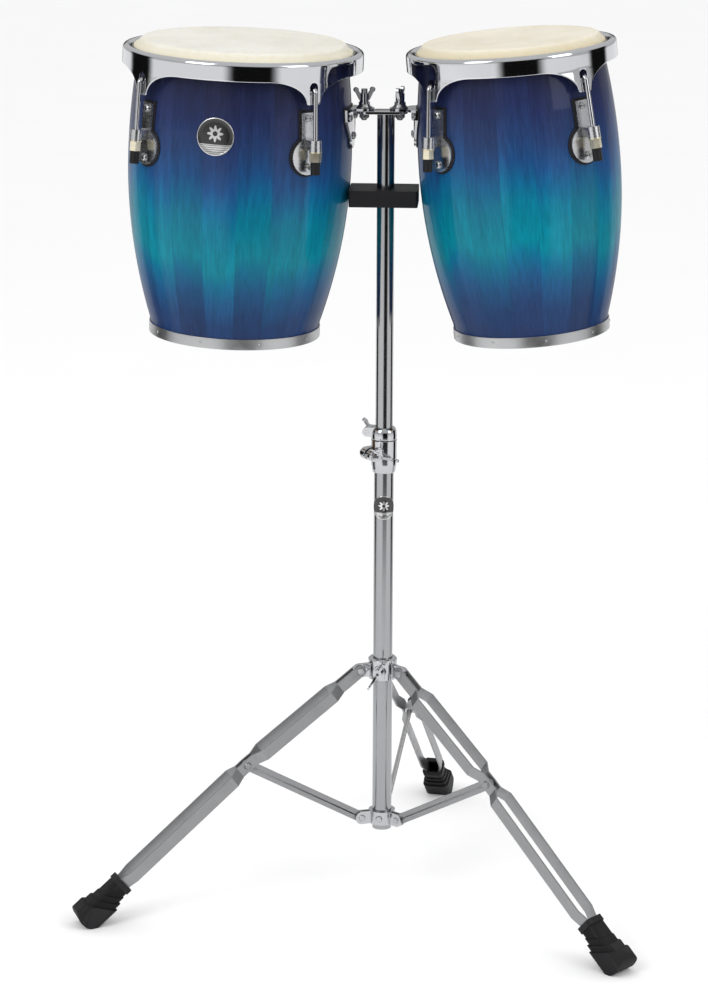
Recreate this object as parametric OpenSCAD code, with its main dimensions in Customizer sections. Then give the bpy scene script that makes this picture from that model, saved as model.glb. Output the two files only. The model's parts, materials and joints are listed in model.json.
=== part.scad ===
// Pair of mini conga drums on a height-adjustable, double-braced folding tripod.
// Millimetres, +Z up, floor at z = 0. The drums hang either side of the post
// along X; the player stands on the -Y side.

/* [Post] */
// Outside diameter of the lower tube
lower_od = 25.4; // [24.6:0.1:26.4]
// Outside diameter of the telescoping upper tube
upper_od = 22.2; // [21.4:0.1:22.3]
// Wall thickness of both tubes
tube_wall = 1.5; // [1.2:0.1:1.5]
// Height of the top face of the T-plate above the floor
plate_z = 1049; // [1010:1:1080]
// Underside of the clamp that joins the two tubes
clamp_z = 580; // [540:1:600]

/* [Tripod] */
// Direction of the rear leg seen from above, anticlockwise from +X
leg_az = 77.5; // [60:0.5:95]
// Height of the leg pins on the sliding hub
hub_z = 313; // [306:0.5:320]
// Distance of the leg pins from the post axis
hub_r = 32; // [31:0.5:33]
// Height of the brace pins on the lower collar
collar_z = 108.5; // [104:0.5:114]
// Distance of the brace pins from the post axis
collar_r = 29; // [28:0.5:31]
// Distance of the leg-to-brace pivots from the post axis
mid_r = 186; // [180:0.5:192]
// Height of the leg-to-brace pivots
mid_z = 198; // [192:0.5:204]
// Length of a leg strap from hub pin to its foot end
leg_len = 439; // [434:1:446]
// Bend of each leg below the brace pivot (degrees)
leg_bend = 3.8; // [3:0.1:4.2]
// Height of the flat leg straps
strap_h = 15.5; // [13:0.5:17]
// Thickness of the flat leg straps
strap_t = 2.5; // [2:0.1:3]
// Outside width of a pair of leg straps
strap_w = 30; // [26:0.5:33]
// Width of a rubber foot across its sole
foot_w = 36.5; // [35:0.5:40]

/* [Drums] */
// Height of each shell from head to bottom edge
drum_h = 376; // [360:1:396]
// Stave thickness
stave_t = 9; // [8:0.5:10]
// Left drum: radius of the playing surface
left_head = 130.7; // [126:0.1:132]
// Left drum: radius at the belly
left_belly = 142; // [140:0.1:143]
// Left drum: radius at the bottom edge
left_foot = 108.6; // [104:0.1:112]
// Left drum: turn of the lugs and rim ears against the bracket (degrees)
left_lug_turn = 3; // [-6:0.5:6]
// Right drum: turn of the lugs and rim ears against the bracket (degrees)
right_lug_turn = -5; // [-6:0.5:6]
// Left drum: outer radius of the rim
left_rim = 152; // [151:0.5:155]
// Right drum: radius of the playing surface
right_head = 112; // [108:0.1:113]
// Right drum: radius at the belly
right_belly = 127.3; // [126:0.1:128]
// Right drum: radius at the bottom edge
right_foot = 98.4; // [94:0.1:102]
// Right drum: outer radius of the rim
right_rim = 132; // [132:0.5:135]

/* [Hanging] */
// Left drum: swivel about its wing bolt (degrees)
left_yaw = -11; // [-13:0.5:-9]
// Right drum: swivel about its wing bolt (degrees)
right_yaw = 178.3; // [177:0.1:180]
// Left drum: lean of its axis, top towards the post (degrees)
left_tilt = 2.2; // [1.5:0.1:3]
// Right drum: lean of its axis, top towards the post (degrees)
right_tilt = 5.1; // [4:0.1:5.6]
// Left wing bolt position
left_bolt = -27.4; // [-29:0.1:-26]
// Right wing bolt position
right_bolt = 17.5; // [16:0.1:19]

/* [Hidden] */
$fn = 48;
gap = 0.05;                     // left between touching faces

chrome = [0.80, 0.81, 0.83];
darkchrome = [0.62, 0.63, 0.66];
steel = [0.72, 0.73, 0.75];
band_steel = [0.70, 0.71, 0.72];
brass = [0.86, 0.80, 0.62];
rawhide = [0.90, 0.88, 0.80];
bushing_brown = [0.50, 0.38, 0.26];
badge_black = [0.12, 0.12, 0.13];
rubber = [0.09, 0.09, 0.10];

// leg numbers, and the direction of each leg from above
rear_leg = 0;
left_leg = 1;
right_leg = 2;
leg_dirs = [leg_az, leg_az + 120, leg_az + 240];
front_dir = leg_az + 180;       // opposite the rear leg
// angle of the legs below horizontal, and distance from hub pin to brace pivot
leg_slope = atan((hub_z - mid_z) / (mid_r - hub_r));
mid_len = sqrt(pow(hub_z - mid_z, 2) + pow(mid_r - hub_r, 2));
brace_slope = atan((mid_z - collar_z) / (mid_r - collar_r));
brace_len = sqrt(pow(mid_z - collar_z, 2) + pow(mid_r - collar_r, 2));

// middle of the top face of a boot: along the leg, then in the leg's vertical plane
boot_x = leg_len - 26;
boot_r = mid_r + (boot_x - mid_len) * cos(leg_slope + leg_bend);
boot_z = mid_z - (boot_x - mid_len) * sin(leg_slope + leg_bend);
boot_corner = 8;
boot_reach = 65;                // from boot_r to the toe
foot_reach = boot_r + boot_reach;
// how far a foot lying at this angle reaches along the axis at angle 0
function foot_span(angle) = abs(cos(angle)) * (foot_reach - boot_corner)
  + abs(sin(angle)) * (foot_w / 2 - boot_corner) + boot_corner;
// shift that brings the middle of the footprint box to the origin
origin = -[foot_span(leg_dirs[right_leg]) - foot_span(leg_dirs[left_leg]),
  foot_span(leg_dirs[rear_leg] - 90) - foot_span(leg_dirs[right_leg] - 90), 0] / 2;

// drum description, read through the functions below
left_drum = [left_head, left_belly, -150, left_foot, left_rim, 3, left_bolt, left_yaw,
  left_tilt, 154.8, 84, left_lug_turn, [0.10, 0.30, 0.52]];
right_drum = [right_head, right_belly, -165, right_foot, right_rim, 7, right_bolt, right_yaw,
  right_tilt, 137, 92.4, right_lug_turn, [0.09, 0.34, 0.52]];
function head_r(drum) = drum[0];
function belly_r(drum) = drum[1];
function belly_z(drum) = drum[2];
function foot_r(drum) = drum[3];
function rim_r(drum) = drum[4];
function hook_slant(drum) = drum[5];
function bolt_x(drum) = drum[6];
function yaw(drum) = drum[7];
function tilt(drum) = drum[8];
function reach(drum) = drum[9];         // from wing bolt to drum axis
function head_rise(drum) = drum[10];    // head above the T-plate
function lug_turn(drum) = drum[11];
function shell_color(drum) = drum[12];

// ---------------------------------------------------------------- helpers
module tube(outer_d, inner_d, height) difference() {
  cylinder(d = outer_d, h = height);
  translate([0, 0, -1]) cylinder(d = inner_d, h = height + 2);
}

// cylinder running from the origin along +X
module rod_x(radius, length) rotate([0, 90, 0]) cylinder(r = radius, h = length);

// cylinder along Y, centred
module rod_y(radius, length)
  translate([0, length / 2, 0]) rotate([90, 0, 0]) cylinder(r = radius, h = length);

// outline drawn in X and Z, thickened along Y and centred
module extrude_y(width)
  translate([0, width / 2, 0]) rotate([90, 0, 0]) linear_extrude(width) children();

// outline drawn in Y and Z, thickened along +X from start
module extrude_x(start, length)
  translate([start, 0, 0]) rotate([90, 0, 90]) linear_extrude(length) children();

// box with four rounded vertical edges, centred on x and y
module rounded_box(x, y, z, radius) linear_extrude(z) {
  square([x - 2 * radius, y], center = true);
  square([x, y - 2 * radius], center = true);
  for (i = [-1, 1]) for (j = [-1, 1])
    translate([i * (x / 2 - radius), j * (y / 2 - radius)]) circle(r = radius);
}

// outline of one wing, standing on the x axis
module wing_shape(span, rise, tip, root) {
  polygon([[root * 0.4, 0], [root, 0], [span / 2, rise - tip],
    [span / 2 - tip * 0.6, rise], [root * 0.5, root * 1.1]]);
  translate([span / 2 - tip * 0.55, rise - tip * 0.55]) circle(r = tip);
}

// wing nut on +Z, seat at z = 0, wings along X starting at height lift
module wing_nut(span, rise, hub_d, hub_h, bore_r, lift = 1.2, thick = 2.8) difference() {
  union() {
    cylinder(d = hub_d, h = hub_h);
    cylinder(d = hub_d + 3, h = 2);
    for (m = [0, 1]) mirror([m, 0, 0]) translate([0, 0, lift]) extrude_y(thick)
      wing_shape(span, rise, tip = span * 0.13, root = hub_d * 0.55);
  }
  translate([0, 0, -1]) cylinder(r = bore_r, h = hub_h + rise + lift + 3);
}

// ---------------------------------------------------------------- drums
// Drum frame: origin at the middle of the head, +X towards the post, z negative down.
straight_foot = 16;             // height of the straight part at the bottom
rim_flare_z = -34;              // the rim's skirt flares below this
ear_bottom_z = -63;
hook_top_z = -46.3;             // centre of the bend of the hooks
hook_offset = 3.3;              // from the flared skirt to the hook rod
hook_wire_r = 3;
hook_bore_r = 3.3;
hook_bend_r = 4.5;
boss_bottom = -70.7;            // underside of the lug boss, in the hook frame
screw_hole_r = 2.6;
screw_head_r = 4.9;
lug_screws = [-78, -139];       // heights
bracket_screws = [[-17, -87], [17, -87], [0, -111]];    // [across, height]
gasket_face = 1.55;             // outer face of the gaskets, from the shell
plate_back = 1.6;               // inner face of the lug and bracket plates
lug_face = 4.4;                 // outer face of the lug plates
lug_top = -60;
lug_bottom = -156;
bracket_top = -66;
bracket_bottom = -132;
tongue_t = 3;

// outside radius of the shell at height z: parabolas above and below the belly
function shell_r(drum, z) = z > belly_z(drum)
  ? belly_r(drum) - (belly_r(drum) - head_r(drum) + 1.5)
    * pow((z - belly_z(drum)) / belly_z(drum), 2)
  : belly_r(drum) - (belly_r(drum) - foot_r(drum))
    * pow(min(1, (belly_z(drum) - z) / (drum_h - straight_foot + belly_z(drum))), 2);
// height on the drum of the bracket tongue's top face, allowing for the drum's lean
function tongue_z(drum) = tongue_t - head_rise(drum) + belly_r(drum) * sin(tilt(drum));
// outward flare of the rim's skirt at height z
function flare(drum, z) = (rim_flare_z - z) * tan(hook_slant(drum));
function heights(from, to, steps) = [for (i = [0:steps]) from + (to - from) * i / steps];

// a skin that follows the shell, between two offsets from it and two heights
module barrel_skin(drum, inner, outer, top, bottom, steps = 10)
  rotate_extrude($fn = 96) polygon(concat(
    [for (z = heights(top, bottom, steps)) [shell_r(drum, z) + inner, z]],
    [for (z = heights(bottom, top, steps)) [shell_r(drum, z) + outer, z]]));

// piece of such a skin on the +X side, cut to an outline drawn in Y and Z
module skin_plate(drum, inner, outer, top, bottom, steps = 10) intersection() {
  barrel_skin(drum, inner, outer, top, bottom, steps);
  extrude_x(belly_r(drum) - 20, 40) children();
}

// frame of the wing bolt, on top of the T-plate
module bolt_frame(drum)
  translate([bolt_x(drum), 0, plate_z]) rotate([0, 0, yaw(drum)]) children();

// places a drum given in the drum frame
module hang(drum) bolt_frame(drum)
  translate([-reach(drum), 0, head_rise(drum)]) rotate([0, tilt(drum), 0]) children();

// turns +X to lug number i
module at_lug(drum, i) rotate([0, 0, 45 + 90 * i + lug_turn(drum)]) children();
module at_lugs(drum) for (i = [0:3]) at_lug(drum, i) children();

// axis of tension hook i, origin at the height of its bend
module at_hook(drum, i) at_lug(drum, i)
  translate([rim_r(drum) + flare(drum, hook_top_z) + hook_offset, 0, hook_top_z])
    rotate([0, -hook_slant(drum), 0]) children();

// holes for the two screws of the lug on +X
module lug_holes(drum, length) for (z = lug_screws)
  translate([belly_r(drum) - 30, 0, z]) rod_x(screw_hole_r, length);

module bracket_holes(drum, length) for (s = bracket_screws)
  translate([belly_r(drum) - 30, s[0], s[1]]) rod_x(screw_hole_r, length);

// stave shell with a rounded bearing edge and the screw holes
module shell(drum) color(shell_color(drum)) difference() {
  rotate_extrude($fn = 96) polygon(concat(
    [[head_r(drum) - 6.5, -3.5], [head_r(drum) - 4.5, -2.7], [head_r(drum) - 3, -3.1],
      [shell_r(drum, -12) - 0.6, -10]],
    [for (z = heights(-14, -drum_h + straight_foot, 22)) [shell_r(drum, z), z]],
    [[foot_r(drum), -drum_h], [foot_r(drum) - stave_t, -drum_h]],
    [for (z = heights(-drum_h + straight_foot, -14, 14)) [shell_r(drum, z) - stave_t, z]]));
  at_lugs(drum) lug_holes(drum, 50);
  bracket_holes(drum, 50);
}

// rawhide skin: flat top, rolled shoulder, collar running down to the flesh hoop
module head(drum) {
  play = head_r(drum);
  edge = rim_r(drum);
  color(rawhide) rotate_extrude($fn = 96) polygon([
    [0, 0], [play - 5, 0], [play - 2.4, -0.6], [play - 0.6, -2], [play + 1.2, -4.4],
    [edge - 14.2, -9], [edge - 13, -15], [edge - 14.3, -15], [edge - 15.6, -9.6],
    [play - 0.4, -5.2], [play - 2, -2.9], [play - 3.4, -1.9], [play - 5, -1.5], [0, -1.5]]);
}

// steel hoop hidden under the rim
module flesh_hoop(drum) color(darkchrome) rotate_extrude($fn = 96)
  translate([rim_r(drum) - 9.5, -15.6]) circle(r = 3.2, $fn = 24);

// comfort rim: rolled top, tall band and four slotted ears.
// One turned ring with a flared skirt, cut back between the ears.
module rim(drum) {
  edge = rim_r(drum);
  skirt = edge + flare(drum, ear_bottom_z);
  wall = 2.5;
  color(chrome) difference() {
    intersection() {
      rotate_extrude($fn = 96) polygon([
        [edge - 12.4, -10.1], [edge - 9, -8.8], [edge - 5, -8.5], [edge - 2, -9.3],
        [edge - 0.5, -11.1], [edge, -13.5], [edge, rim_flare_z], [skirt, ear_bottom_z],
        [skirt - wall, ear_bottom_z], [edge - wall, rim_flare_z], [edge - wall, -14.1],
        [edge - 4, -11.9], [edge - 7, -11.2], [edge - 12, -12.1]]);
      union() {
        translate([0, 0, -32.5]) cylinder(r = edge + 20, h = 30);
        at_lugs(drum) extrude_x(edge - 12, 30) ear_shape();
      }
    }
    // slots with a round top
    at_lugs(drum) extrude_x(edge - 12, 30) {
      translate([-6, -46.2]) square([12, 7]);
      translate([0, -39.2]) circle(r = 6);
    }
  }
}

// ear outline: x across, y up; concave shoulders into the band, rounded foot
module ear_shape() difference() {
  union() {
    translate([-52, -46]) square([104, 18]);
    translate([-10.5, -59]) square([21, 20]);
    translate([-7.5, -62]) square([15, 10]);
    for (s = [-1, 1]) {
      translate([s * 7.5, -59]) circle(r = 3);
      translate([s * 16, -50]) square([12, 18], center = true);
    }
  }
  for (m = [0, 1]) mirror([m, 0]) {
    intersection() {
      translate([32.5, -59]) circle(r = 22);
      translate([5, -59]) square([16.5, 30]);
    }
    intersection() {
      translate([49.3, -88.1]) circle(r = 55.95);
      translate([21.5, -80]) square([27.8, 50]);
    }
    translate([49.2, -80]) square([10, 48.3]);
    translate([10.5, -80]) square([12, 21]);
  }
}

// keyhole outline of a lug plate, grown all round: stem above, disc below
module keyhole(grow) {
  translate([-10 - grow, -126]) square([20 + 2 * grow, 54.5 + grow]);
  translate([0, -126]) circle(r = 22.5 + grow);
}

// cast lug plates with boss and neck, bored for the hooks
module lugs(drum) {
  neck_start = shell_r(drum, -117) + 2;
  neck_end = rim_r(drum) + hook_offset + 70 * sin(hook_slant(drum));
  color(chrome) for (i = [0:3]) difference() {
    union() {
      at_lug(drum, i) {
        skin_plate(drum, plate_back, lug_face, lug_top, lug_bottom) keyhole(0);
        translate([neck_start, -6.6, -116]) cube([neck_end - neck_start, 13.2, 12.2]);
      }
      at_hook(drum, i) translate([0, 0, boss_bottom]) cylinder(r = 7.6, h = 13.6);
    }
    // bore for the hook, and clear space below the boss
    at_hook(drum, i) {
      translate([0, 0, -100]) cylinder(r = hook_bore_r, h = 60);
      translate([0, 0, boss_bottom - 45]) cylinder(r = 8.4, h = 45);
    }
    // screw holes, and clear space for the screw heads
    at_lug(drum, i) {
      lug_holes(drum, 60);
      for (z = lug_screws) translate([shell_r(drum, z) + lug_face, 0, z]) rod_x(5.4, 30);
    }
  }
}

// outline of the bracket plate, grown all round: square top, tapering to a round foot
module bracket_shape(drum, grow) {
  side = 26 + grow;
  toe = 9 + grow;
  top = tongue_z(drum) - 0.6 + grow;
  polygon([[-side, top], [side, top], [side, -91], [toe, -118], [-toe, -118], [-side, -91]]);
  translate([0, -117.5]) circle(r = 9.1 + grow);
}

// black rubber gaskets: four under the lugs, one under the bracket
module gaskets(drum) color(rubber) {
  at_lugs(drum) difference() {
    skin_plate(drum, gap, gasket_face, lug_top, lug_bottom) keyhole(2.8);
    lug_holes(drum, 60);
  }
  difference() {
    skin_plate(drum, gap, gasket_face, bracket_top, bracket_bottom, 6) bracket_shape(drum, 2);
    bracket_holes(drum, 60);
  }
}

// pan-head screw through the shell with its inner nut, along X, head seated at seat_r
module shell_bolt(seat_r) {
  translate([seat_r - 22, 0, 0]) {
    rod_x(2.4, 22);
    rotate([0, 90, 0]) cylinder(r = 4.6, h = 4, $fn = 6);
  }
  difference() {
    translate([seat_r + gap, 0, 0]) rotate([0, 90, 0]) {
      cylinder(r = screw_head_r, h = 1.6);
      translate([0, 0, 1.5]) cylinder(r1 = 4.6, r2 = 3.2, h = 1.3);
    }
    // cross recess
    translate([seat_r + 2.2, 0, 0]) for (a = [0, 90]) rotate([a, 0, 0])
      cube([3, 5, 1], center = true);
  }
}

// distance out at which a head clears the curved bracket plate
function bracket_seat(drum, across, z) = sqrt(
  pow(shell_r(drum, z - screw_head_r) + 4.35, 2) - pow(max(0, abs(across) - screw_head_r), 2));

// lug screws, bracket screws, and nine studs round the band
module screws(drum) color(steel) {
  at_lugs(drum) for (z = lug_screws)
    translate([0, 0, z]) shell_bolt(shell_r(drum, z) + lug_face);
  for (s = bracket_screws)
    translate([0, s[0], s[1]]) shell_bolt(bracket_seat(drum, s[0], s[1]));
  stud_z = -drum_h + 7;
  for (a = [20:40:340]) rotate([0, 0, a])
    translate([shell_r(drum, stud_z) + 1.35, 0, stud_z])
      rotate([0, 90, 0]) cylinder(r1 = 1.9, r2 = 1.1, h = 0.8);
}

// J-hooks: straight rod, bent inwards over the ear and down inside it
module hooks(drum) color(chrome) for (i = [0:3]) at_hook(drum, i) {
  translate([0, 0, boss_bottom - 27.2]) cylinder(r = hook_wire_r, h = 27.2 - boss_bottom);
  translate([-hook_bend_r, 0, 0]) rotate([90, 0, 0]) rotate_extrude(angle = 180, $fn = 32)
    translate([hook_bend_r, 0]) circle(r = hook_wire_r);
  translate([-2 * hook_bend_r, 0, -6.5]) cylinder(r = hook_wire_r, h = 6.5);
}

// flanged tension nut under the boss, and the black end cap below it
module tension_nut(drum, i) {
  bore_r = 3.08;
  at_hook(drum, i) translate([0, 0, boss_bottom]) {
    color(brass) difference() {
      translate([0, 0, -0.15]) {
        translate([0, 0, -1.5]) cylinder(r = 8, h = 1.5);
        translate([0, 0, -13]) cylinder(r = 7.4, h = 11.6, $fn = 6);
      }
      translate([0, 0, -20]) cylinder(r = bore_r, h = 30);
    }
    color(rubber) difference() {
      translate([0, 0, -29]) cylinder(r = 5.9, h = 29 - 13.15 - gap);
      translate([0, 0, -27.6]) cylinder(r = bore_r, h = 20);
    }
  }
}

// stainless band round the bottom edge
module band(drum) color(band_steel)
  barrel_skin(drum, gap, 1.3, -drum_h + 13.5, -drum_h, 3);

// side bracket: shaped plate on the shell, tongue reaching over the T-plate.
// Stands in the post's frame, since the tongue lies level while the drum leans.
module bracket(drum) color(chrome) difference() {
  union() {
    hang(drum) skin_plate(drum, plate_back, 4.3, bracket_top, bracket_bottom, 6)
      bracket_shape(drum, 0);
    difference() {
      bolt_frame(drum) translate([0, 0, gap]) linear_extrude(tongue_t) {
        translate([-20, -13]) square([20, 26]);
        circle(r = 13);
        polygon([[-20, -24], [-14, -22], [-6, -11], [-6, 11], [-14, 22], [-20, 24]]);
      }
      hang(drum) barrel_skin(drum, -20, 3, -54, -120, 6);
    }
  }
  bolt_frame(drum) translate([0, 0, -1]) cylinder(r = 4.2, h = 6);
  hang(drum) bracket_holes(drum, 36);
}

// round blank badge on the front of the shell
module badge(drum) color(badge_black) rotate([0, 0, -88]) intersection() {
  barrel_skin(drum, gap, 1.3, -70, -130, 8);
  translate([belly_r(drum) - 20, 0, -101]) rod_x(24, 40);
}

// ---------------------------------------------------------------- post
lower_tube_z = 92;
upper_tube_z = 394;
joint_z = clamp_z + 26;         // top of the lower tube, and height of the clamp bolt
clamp_dir = 215;                // the clamp's ears point front-left
clamp_bolt_r = 22;              // from post axis to clamp bolt
clamp_ear_t = 9.6;
clamp_ear_y = 7.2;              // middle of each ear, either side of the split
clamp_half = clamp_ear_y + clamp_ear_t / 2;
lock_dir = 165;                 // the memory lock's ear points left
lock_z = clamp_z + 53;          // height of the lock's screw
lock_screw_r = 21;              // from post axis to the lock's screw
plate_t = 4;
plate_w = 26;
bumper_z = 930;
bumper_x = -2;
bumper_yaw = -3;
bar_size = [76, 50, 17];

module lower_tube() color(chrome) translate([0, 0, lower_tube_z])
  tube(lower_od, lower_od - 2 * tube_wall, joint_z - lower_tube_z);

module upper_tube() color(chrome) translate([0, 0, upper_tube_z])
  tube(upper_od, upper_od - 2 * tube_wall, plate_z - plate_t - gap - upper_tube_z);

// thin curved badge on the front of the lower tube: round, with its sides cut straight
module tube_badge() color(badge_black) intersection() {
  translate([0, 0, 500]) tube(lower_od + 0.9, lower_od + 2 * gap, 80);
  translate([0, -5, 534.4]) rotate([90, 0, 0]) cylinder(r = 15.8, h = 20);
  translate([-11.6, -20, 500]) cube([23.2, 20, 80]);
}

// sleeve round the upper tube, standing on the end of the lower tube
module clamp_bushing() color(bushing_brown) difference() {
  translate([0, 0, joint_z + gap]) cylinder(d = lower_od, h = 17.2);
  translate([0, 0, clamp_z]) cylinder(d = upper_od + 0.16, h = 80);
}

// cast clamp: split sleeve, taper below, two ears
module clamp_body() color(chrome) difference() {
  union() {
    translate([0, 0, clamp_z]) cylinder(r1 = 14.6, r2 = 16.6, h = 12);
    translate([0, 0, clamp_z + 12]) cylinder(r = 16.6, h = 31);
    rotate([0, 0, clamp_dir]) for (s = [-1, 1])
      translate([clamp_bolt_r, s * clamp_ear_y, joint_z]) {
        rod_y(8, clamp_ear_t);
        translate([-18, -clamp_ear_t / 2, -8]) cube([18, clamp_ear_t, 16]);
      }
  }
  translate([0, 0, clamp_z - 1]) cylinder(d = lower_od + 2 * gap, h = 60);
  rotate([0, 0, clamp_dir]) {
    translate([10, -2.4, clamp_z + 6]) cube([30, 4.8, 50]);
    translate([clamp_bolt_r, 0, joint_z]) rod_y(3.1, 40);
  }
}

// axis of the clamp bolt as +Z, origin midway between the ears
module clamp_bolt_frame() rotate([0, 0, clamp_dir])
  translate([clamp_bolt_r, 0, joint_z]) rotate([-90, 0, 0]) children();

module clamp_bolt() color(darkchrome) clamp_bolt_frame()
  translate([0, 0, -clamp_half - gap]) {
    translate([0, 0, -3.4]) cylinder(r = 5.4, h = 3.4);
    cylinder(r = 3, h = 34);
  }

module clamp_wing_nut() color(chrome) clamp_bolt_frame()
  translate([0, 0, clamp_half + gap]) rotate([0, 0, -16])
    wing_nut(span = 50, rise = 12, hub_d = 11, hub_h = 9, bore_r = 3.08, lift = 4, thick = 3.2);

// memory lock: domed split collar just above the clamp, with a split ear
module memory_lock() color(chrome) difference() {
  union() {
    translate([0, 0, clamp_z]) rotate_extrude() polygon([
      [0, 43.6], [16, 43.6], [16.6, 45], [16.6, 50], [16.2, 54],
      [15, 57.4], [13, 59.6], [0, 60]]);
    rotate([0, 0, lock_dir]) translate([lock_screw_r, 0, lock_z]) {
      rod_y(6, 19);
      translate([-13, -9.5, -6]) cube([13, 19, 12]);
    }
  }
  translate([0, 0, clamp_z + 40]) cylinder(d = upper_od + 0.3, h = 40);
  rotate([0, 0, lock_dir]) {
    translate([9, -1, clamp_z + 40]) cube([30, 2, 40]);
    translate([lock_screw_r, 0, lock_z]) rod_y(2.56, 40);
  }
}

// wing screw of the memory lock
module memory_wing() color(chrome) rotate([0, 0, lock_dir])
  translate([lock_screw_r, 0, lock_z]) rotate([90, 0, 0]) {
    translate([0, 0, -9.4]) cylinder(r = 2.5, h = 22);
    translate([0, 0, 9.6]) rotate([0, 0, 38])
      wing_nut(span = 30, rise = 13, hub_d = 8, hub_h = 7, bore_r = 1.5, thick = 3.2);
  }

// T-plate on the top of the post: stadium with two bolt holes
module t_plate() {
  straight = right_bolt - left_bolt - 6;
  color(chrome) difference() {
    translate([(left_bolt + right_bolt) / 2, 0, plate_z - plate_t]) linear_extrude(plate_t) {
      square([straight, plate_w], center = true);
      for (s = [-1, 1]) translate([s * straight / 2, 0]) circle(d = plate_w);
    }
    for (x = [left_bolt, right_bolt])
      translate([x, 0, plate_z - plate_t - 1]) cylinder(r = 4.1, h = 6);
  }
}

// bolts up through the T-plate and the bracket tongues, with their washers
module t_bolts() color(darkchrome) for (x = [left_bolt, right_bolt]) translate([x, 0, plate_z]) {
  // shank, hexagonal head and the cone under it
  translate([0, 0, -plate_t - gap]) {
    cylinder(r = 3.95, h = 31);
    translate([0, 0, -5.2]) cylinder(r = 6.2, h = 5.2, $fn = 6);
    translate([0, 0, -8.4]) cylinder(r1 = 3.2, r2 = 5.6, h = 3.2);
  }
  // flat washer with a tapered one on it
  difference() {
    union() {
      translate([0, 0, 3 + 2 * gap]) cylinder(r = 10, h = 1.6);
      translate([0, 0, 4.6 + 3 * gap]) cylinder(r1 = 8.6, r2 = 6.6, h = 3.4);
    }
    translate([0, 0, 2]) cylinder(r = 4.1, h = 8);
  }
}

// wing nut holding a drum on the T-plate
module t_wing_nut(x, turn) color(chrome)
  translate([x, 0, plate_z + 8.2 + gap]) rotate([0, 0, turn]) wing_nut(
    span = 25, rise = 15, hub_d = 11.5, hub_h = 13, bore_r = 4.03, lift = 4.5, thick = 3.8);

// bumper pieces: turned a little on the post, base at height z
module bumper_frame(z) translate([bumper_x, 0, z]) rotate([0, 0, bumper_yaw]) children();

// steel core of the bumper
module bumper_bar() color(darkchrome) difference() {
  bumper_frame(bumper_z + 2) rounded_box(bar_size.x, bar_size.y, bar_size.z, 2);
  translate([0, 0, bumper_z + 1]) cylinder(d = upper_od + 0.1, h = 20);
}

// black rubber over the core
module bumper_rubber() color(rubber) difference() {
  bumper_frame(bumper_z) rounded_box(87, 60, 21, 3);
  bumper_frame(bumper_z + 2 - gap)
    rounded_box(bar_size.x + 2 * gap, bar_size.y + 2 * gap, bar_size.z + 2 * gap, 2);
  translate([0, 0, bumper_z - 1]) cylinder(d = upper_od + 0.1, h = 30);
}

// ---------------------------------------------------------------- tripod
pinch = 3.35;                   // half width between the straps where they are pinched
wide = strap_w / 2 - strap_t;   // half width between them elsewhere
foot_pinch = 8;                 // half width between them inside the boot
brace_t = 2.8;
eye_r = 7;                      // eyes at the ends of the braces
eye_bore_r = 2.55;
hub_tongue_t = 6.2;
hub_pin_half = 6.2;             // half length of a hub pin between its heads
hub_screw_z = hub_z + 1;
cheek_y = 3.1;                  // middle of each fork cheek on the lower collar
cheek_t = 2.6;

// the rear leg holds a wider cross block at the brace pivot
function mid_pinch(k) = k == rear_leg ? 6.9 : pinch;

// turns +X to each leg in turn
module at_legs() for (a = leg_dirs) rotate([0, 0, a]) children();

// frame of leg k: origin at its hub pin, +X down the leg, +Y across
module leg_frame(k) rotate([0, 0, leg_dirs[k]])
  translate([hub_r, 0, hub_z]) rotate([0, leg_slope, 0]) children();

// frame of brace k: origin at its collar pin, +X up the brace
module brace_frame(k) rotate([0, 0, leg_dirs[k]])
  translate([collar_r, 0, collar_z]) rotate([0, -brace_slope, 0]) children();

// below the brace pivot a leg runs a little steeper
module below_bend()
  translate([mid_len, 0, 0]) rotate([0, leg_bend, 0]) translate([-mid_len, 0, 0]) children();

// one strap seen square to its leg
module strap_profile(k) {
  // [distance along the leg, offset of the inner face]
  path = [[-8, pinch], [34, pinch], [48, wide],
    [mid_len - 26, wide], [mid_len - 13, mid_pinch(k)],
    [mid_len + 13, mid_pinch(k)], [mid_len + 26, wide],
    [leg_len - 42, wide], [leg_len - 29, foot_pinch], [leg_len, foot_pinch]];
  polygon(concat(path, [for (i = [len(path) - 1:-1:0]) path[i] + [0, strap_t]]));
}

// a leg seen from the side: straight to the brace pivot, then bent
module leg_side() {
  lower_len = leg_len + 5 - mid_len;
  half = strap_h / 2;
  end_x = mid_len + lower_len * cos(leg_bend);
  end_y = -lower_len * sin(leg_bend);
  across = half * [sin(leg_bend), cos(leg_bend)];
  miter = half * tan(leg_bend / 2);
  polygon([[-20, half], [mid_len + miter, half], [end_x, end_y] + across,
    [end_x, end_y] - across, [mid_len - miter, -half], [-20, -half]]);
}

// a pair of flat straps with rounded hub ends, pinched at hub, pivot and foot
module leg(k) color(chrome) leg_frame(k) for (m = [0, 1]) mirror([0, m, 0]) {
  difference() {
    intersection() {
      translate([0, 0, -60]) linear_extrude(120) strap_profile(k);
      extrude_y(60) leg_side();
      union() {
        rod_y(strap_h / 2, 40);
        translate([0, -20, -50]) cube([leg_len + 15, 40, 100]);
      }
    }
    rod_y(3.05, 40);
    translate([mid_len, 0, 0]) rod_y(2.6, 40);
  }
  // stub rivet of the leg-to-brace pivot, one in each strap
  translate([mid_len, mid_pinch(k) + gap, 0]) rotate([-90, 0, 0]) {
    cylinder(r = 2.55, h = strap_t);
    translate([0, 0, strap_t]) cylinder(r1 = 5, r2 = 3.4, h = 2.2);
  }
}

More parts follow.
